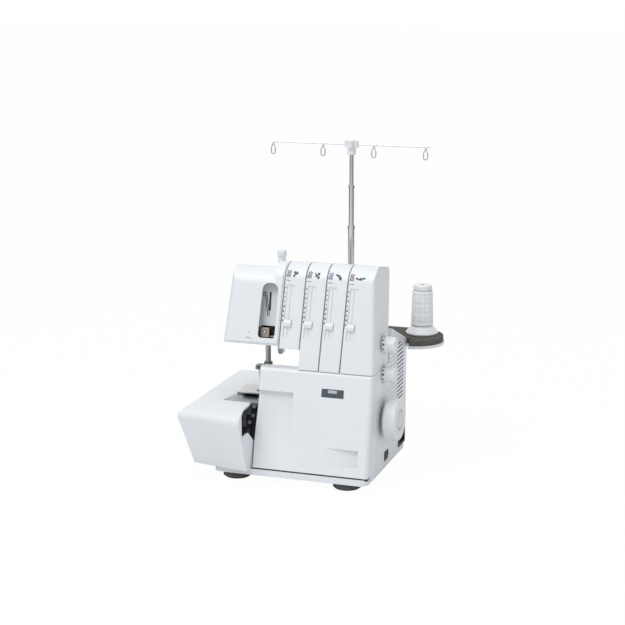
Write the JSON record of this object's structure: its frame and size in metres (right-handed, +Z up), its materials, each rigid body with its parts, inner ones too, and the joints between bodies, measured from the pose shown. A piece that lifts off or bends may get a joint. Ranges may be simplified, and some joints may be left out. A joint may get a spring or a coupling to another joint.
{
  "type": "serger overlock machine",
  "caption": "White domestic overlock machine with sliding tension controls, two needles, trimming knives, an opening front cover and a telescopic thread stand.",
  "frame": {"origin": "bottom centre of the whole machine's bounding box, on the surface it stands on", "axes": "+Z up, +X to the machine's right (handwheel side), -Y towards the person sewing"},
  "size_m": [0.299, 0.2994, 0.434],
  "materials": {
    "white_plastic": "satin moulded white plastic",
    "black_plastic": "fine-grained black plastic",
    "black_rubber": "matt",
    "foam": "dark open foam",
    "cast_metal": "as-cast light alloy",
    "plate_steel": "finely ground",
    "bright_steel": "bright ground and plated",
    "bronze": "sintered bronze",
    "painted_case": "grey enamel",
    "clear_plastic": "frosted lens",
    "thread": "wound white thread"
  },
  "bodies": {
    "machine": {"base_pan": "white_plastic", "rubber_feet": "black_rubber", "lower_housing": "white_plastic", "side_cover": "white_plastic", "rear_cover": "white_plastic", "upper_housing": "white_plastic", "face_cover": "white_plastic", "bed_casting": "cast_metal", "arm_casting": "cast_metal", "needle_plate": "plate_steel", "lower_knife": "bright_steel", "looper_shaft": "bright_steel", "shaft_bushes": "bronze", "timing_belt": "black_rubber", "motor": "painted_case", "bar_bushes": "bronze", "thread_guide_block": "bronze", "tension_discs": "bright_steel", "power_inlet": "black_plastic", "lamp": "clear_plastic", "thread_tray": "white_plastic", "foam_pad": "foam", "spool_pins": "white_plastic", "pole_lower": "bright_steel", "cover_screws": "bright_steel"},
    "cover_rod": {"cover_hinge_rod": "bright_steel"},
    "looper_cover": {"looper_cover": "white_plastic"},
    "table": {"cloth_plate": "white_plastic"},
    "drive": {"main_shaft": "bright_steel", "handwheel": "white_plastic", "wheel_cap": "white_plastic", "drive_pulley": "black_plastic"},
    "motor_rotor": {"motor_pulley": "bright_steel"},
    "needle_bar": {"needle_bar": "bright_steel", "needle_clamp": "bright_steel", "needles": "bright_steel"},
    "needle_rocker": {"arm_shaft": "bright_steel", "needle_lever": "bright_steel"},
    "presser_bar": {"presser_bar": "bright_steel", "presser_spring": "bright_steel"},
    "presser_foot": {"presser_foot": "bright_steel"},
    "lifter": {"lifter_lever": "bright_steel"},
    "pressure_knob": {"pressure_knob": "white_plastic"},
    "tension_slider_1": {"tension_slider_1": "white_plastic"},
    "tension_slider_2": {"tension_slider_2": "white_plastic"},
    "tension_slider_3": {"tension_slider_3": "white_plastic"},
    "tension_slider_4": {"tension_slider_4": "white_plastic"},
    "stitch_dial": {"stitch_dial": "white_plastic"},
    "feed_dial": {"feed_dial": "white_plastic"},
    "power_switch": {"power_switch": "black_plastic"},
    "feed_dog": {"feed_dog": "bright_steel"},
    "upper_knife": {"upper_knife": "bright_steel"},
    "lower_looper": {"lower_looper": "bright_steel"},
    "upper_looper": {"upper_looper": "bright_steel"},
    "spool": {"cone_holder": "white_plastic", "thread_cone": "thread"},
    "pole_middle": {"pole_middle": "bright_steel"},
    "pole_upper": {"pole_upper": "bright_steel", "guide_hub": "white_plastic", "guide_wires": "bright_steel"}
  },
  "joints": [
    {"name": "cover_shift", "type": "slide", "parent": "machine", "child": "cover_rod", "axis": [1, 0, 0], "range_m": [0, 0.008]},
    {"name": "cover_tilt", "type": "hinge", "parent": "cover_rod", "child": "looper_cover", "pos_m": [0.0265, -0.0972, 0.0245], "axis": [1, 0, 0], "range_deg": [0, 80]},
    {"name": "table_slide", "type": "slide", "parent": "machine", "child": "table", "axis": [-1, 0, 0], "range_m": [0, 0.06]},
    {"name": "handwheel_turn", "type": "hinge", "parent": "machine", "child": "drive", "pos_m": [0.1035, -0.03075, 0.082], "axis": [1, 0, 0], "continuous": true},
    {"name": "motor_turn", "type": "hinge", "parent": "machine", "child": "motor_rotor", "pos_m": [0.0795, 0.03925, 0.058], "axis": [1, 0, 0], "continuous": true},
    {"name": "needle_travel", "type": "slide", "parent": "machine", "child": "needle_bar", "axis": [0, 0, 1], "range_m": [-0.025, 0]},
    {"name": "needle_lever_swing", "type": "hinge", "parent": "machine", "child": "needle_rocker", "pos_m": [-0.0165, -0.01575, 0.214], "axis": [1, 0, 0], "range_deg": [0, 88]},
    {"name": "presser_lift", "type": "slide", "parent": "machine", "child": "presser_bar", "axis": [0, 0, 1], "range_m": [0, 0.006], "deforming": ["presser_spring"]},
    {"name": "presser_foot_tilt", "type": "hinge", "parent": "presser_bar", "child": "presser_foot", "pos_m": [-0.0655, -0.01275, 0.1066], "axis": [1, 0, 0], "range_deg": [-10, 0]},
    {"name": "lifter_swing", "type": "hinge", "parent": "machine", "child": "lifter", "pos_m": [-0.0545, 0.00525, 0.192], "axis": [0, 1, 0], "range_deg": [0, 50]},
    {"name": "pressure_knob_turn", "type": "hinge", "parent": "machine", "child": "pressure_knob", "pos_m": [-0.0465, -0.00975, 0.28], "axis": [0, 0, 1], "range_deg": [-360, 360]},
    {"name": "tension_1_slide", "type": "slide", "parent": "machine", "child": "tension_slider_1", "axis": [0.0384, 0.1864, 0.9817], "range_m": [-0.012, 0.045]},
    {"name": "tension_2_slide", "type": "slide", "parent": "machine", "child": "tension_slider_2", "axis": [0.0384, 0.1864, 0.9817], "range_m": [-0.012, 0.045]},
    {"name": "tension_3_slide", "type": "slide", "parent": "machine", "child": "tension_slider_3", "axis": [0.0384, 0.1864, 0.9817], "range_m": [-0.012, 0.045]},
    {"name": "tension_4_slide", "type": "slide", "parent": "machine", "child": "tension_slider_4", "axis": [0.0384, 0.1864, 0.9817], "range_m": [-0.012, 0.045]},
    {"name": "stitch_dial_turn", "type": "hinge", "parent": "machine", "child": "stitch_dial", "pos_m": [0.1115, -0.03275, 0.1845], "axis": [1, 0, 0], "range_deg": [-150, 150]},
    {"name": "feed_dial_turn", "type": "hinge", "parent": "machine", "child": "feed_dial", "pos_m": [0.1115, -0.03275, 0.1436], "axis": [1, 0, 0], "range_deg": [-150, 150]},
    {"name": "power_switch_rock", "type": "hinge", "parent": "machine", "child": "power_switch", "pos_m": [0.1005, -0.01475, 0.0256], "axis": [0, 1, 0], "range_deg": [-8, 0]},
    {"name": "feed_dog_stroke", "type": "slide", "parent": "machine", "child": "feed_dog", "axis": [0, 1, 0], "range_m": [-0.003, 0.003]},
    {"name": "upper_knife_stroke", "type": "slide", "parent": "machine", "child": "upper_knife", "axis": [0, 0, 1], "range_m": [-0.006, 0]},
    {"name": "lower_looper_swing", "type": "hinge", "parent": "machine", "child": "lower_looper", "pos_m": [-0.053, -0.05675, 0.056], "axis": [1, 0, 0], "range_deg": [-20, 0]},
    {"name": "upper_looper_swing", "type": "hinge", "parent": "machine", "child": "upper_looper", "pos_m": [-0.061, -0.05675, 0.056], "axis": [1, 0, 0], "range_deg": [0, 20]},
    {"name": "spool_lift", "type": "slide", "parent": "machine", "child": "spool", "axis": [0, 0, 1], "range_m": [0, 0.07]},
    {"name": "pole_middle_slide", "type": "slide", "parent": "machine", "child": "pole_middle", "axis": [0, 0, 1], "range_m": [-0.035, 0]},
    {"name": "pole_upper_slide", "type": "slide", "parent": "pole_middle", "child": "pole_upper", "axis": [0, 0, 1], "range_m": [-0.042, 0]}
  ],
  "couplings": [
    {"joint": "motor_turn", "follows": "handwheel_turn", "ratio": 3.5},
    {"joint": "needle_lever_swing", "follows": "needle_travel", "rad_per_m": -61.426},
    {"joint": "upper_knife_stroke", "follows": "needle_travel", "ratio": 0.24},
    {"joint": "lower_looper_swing", "follows": "needle_travel", "rad_per_m": 13.958},
    {"joint": "upper_looper_swing", "follows": "needle_travel", "rad_per_m": -13.958},
    {"joint": "lifter_swing", "follows": "presser_lift", "rad_per_m": 145.44}
  ]
}
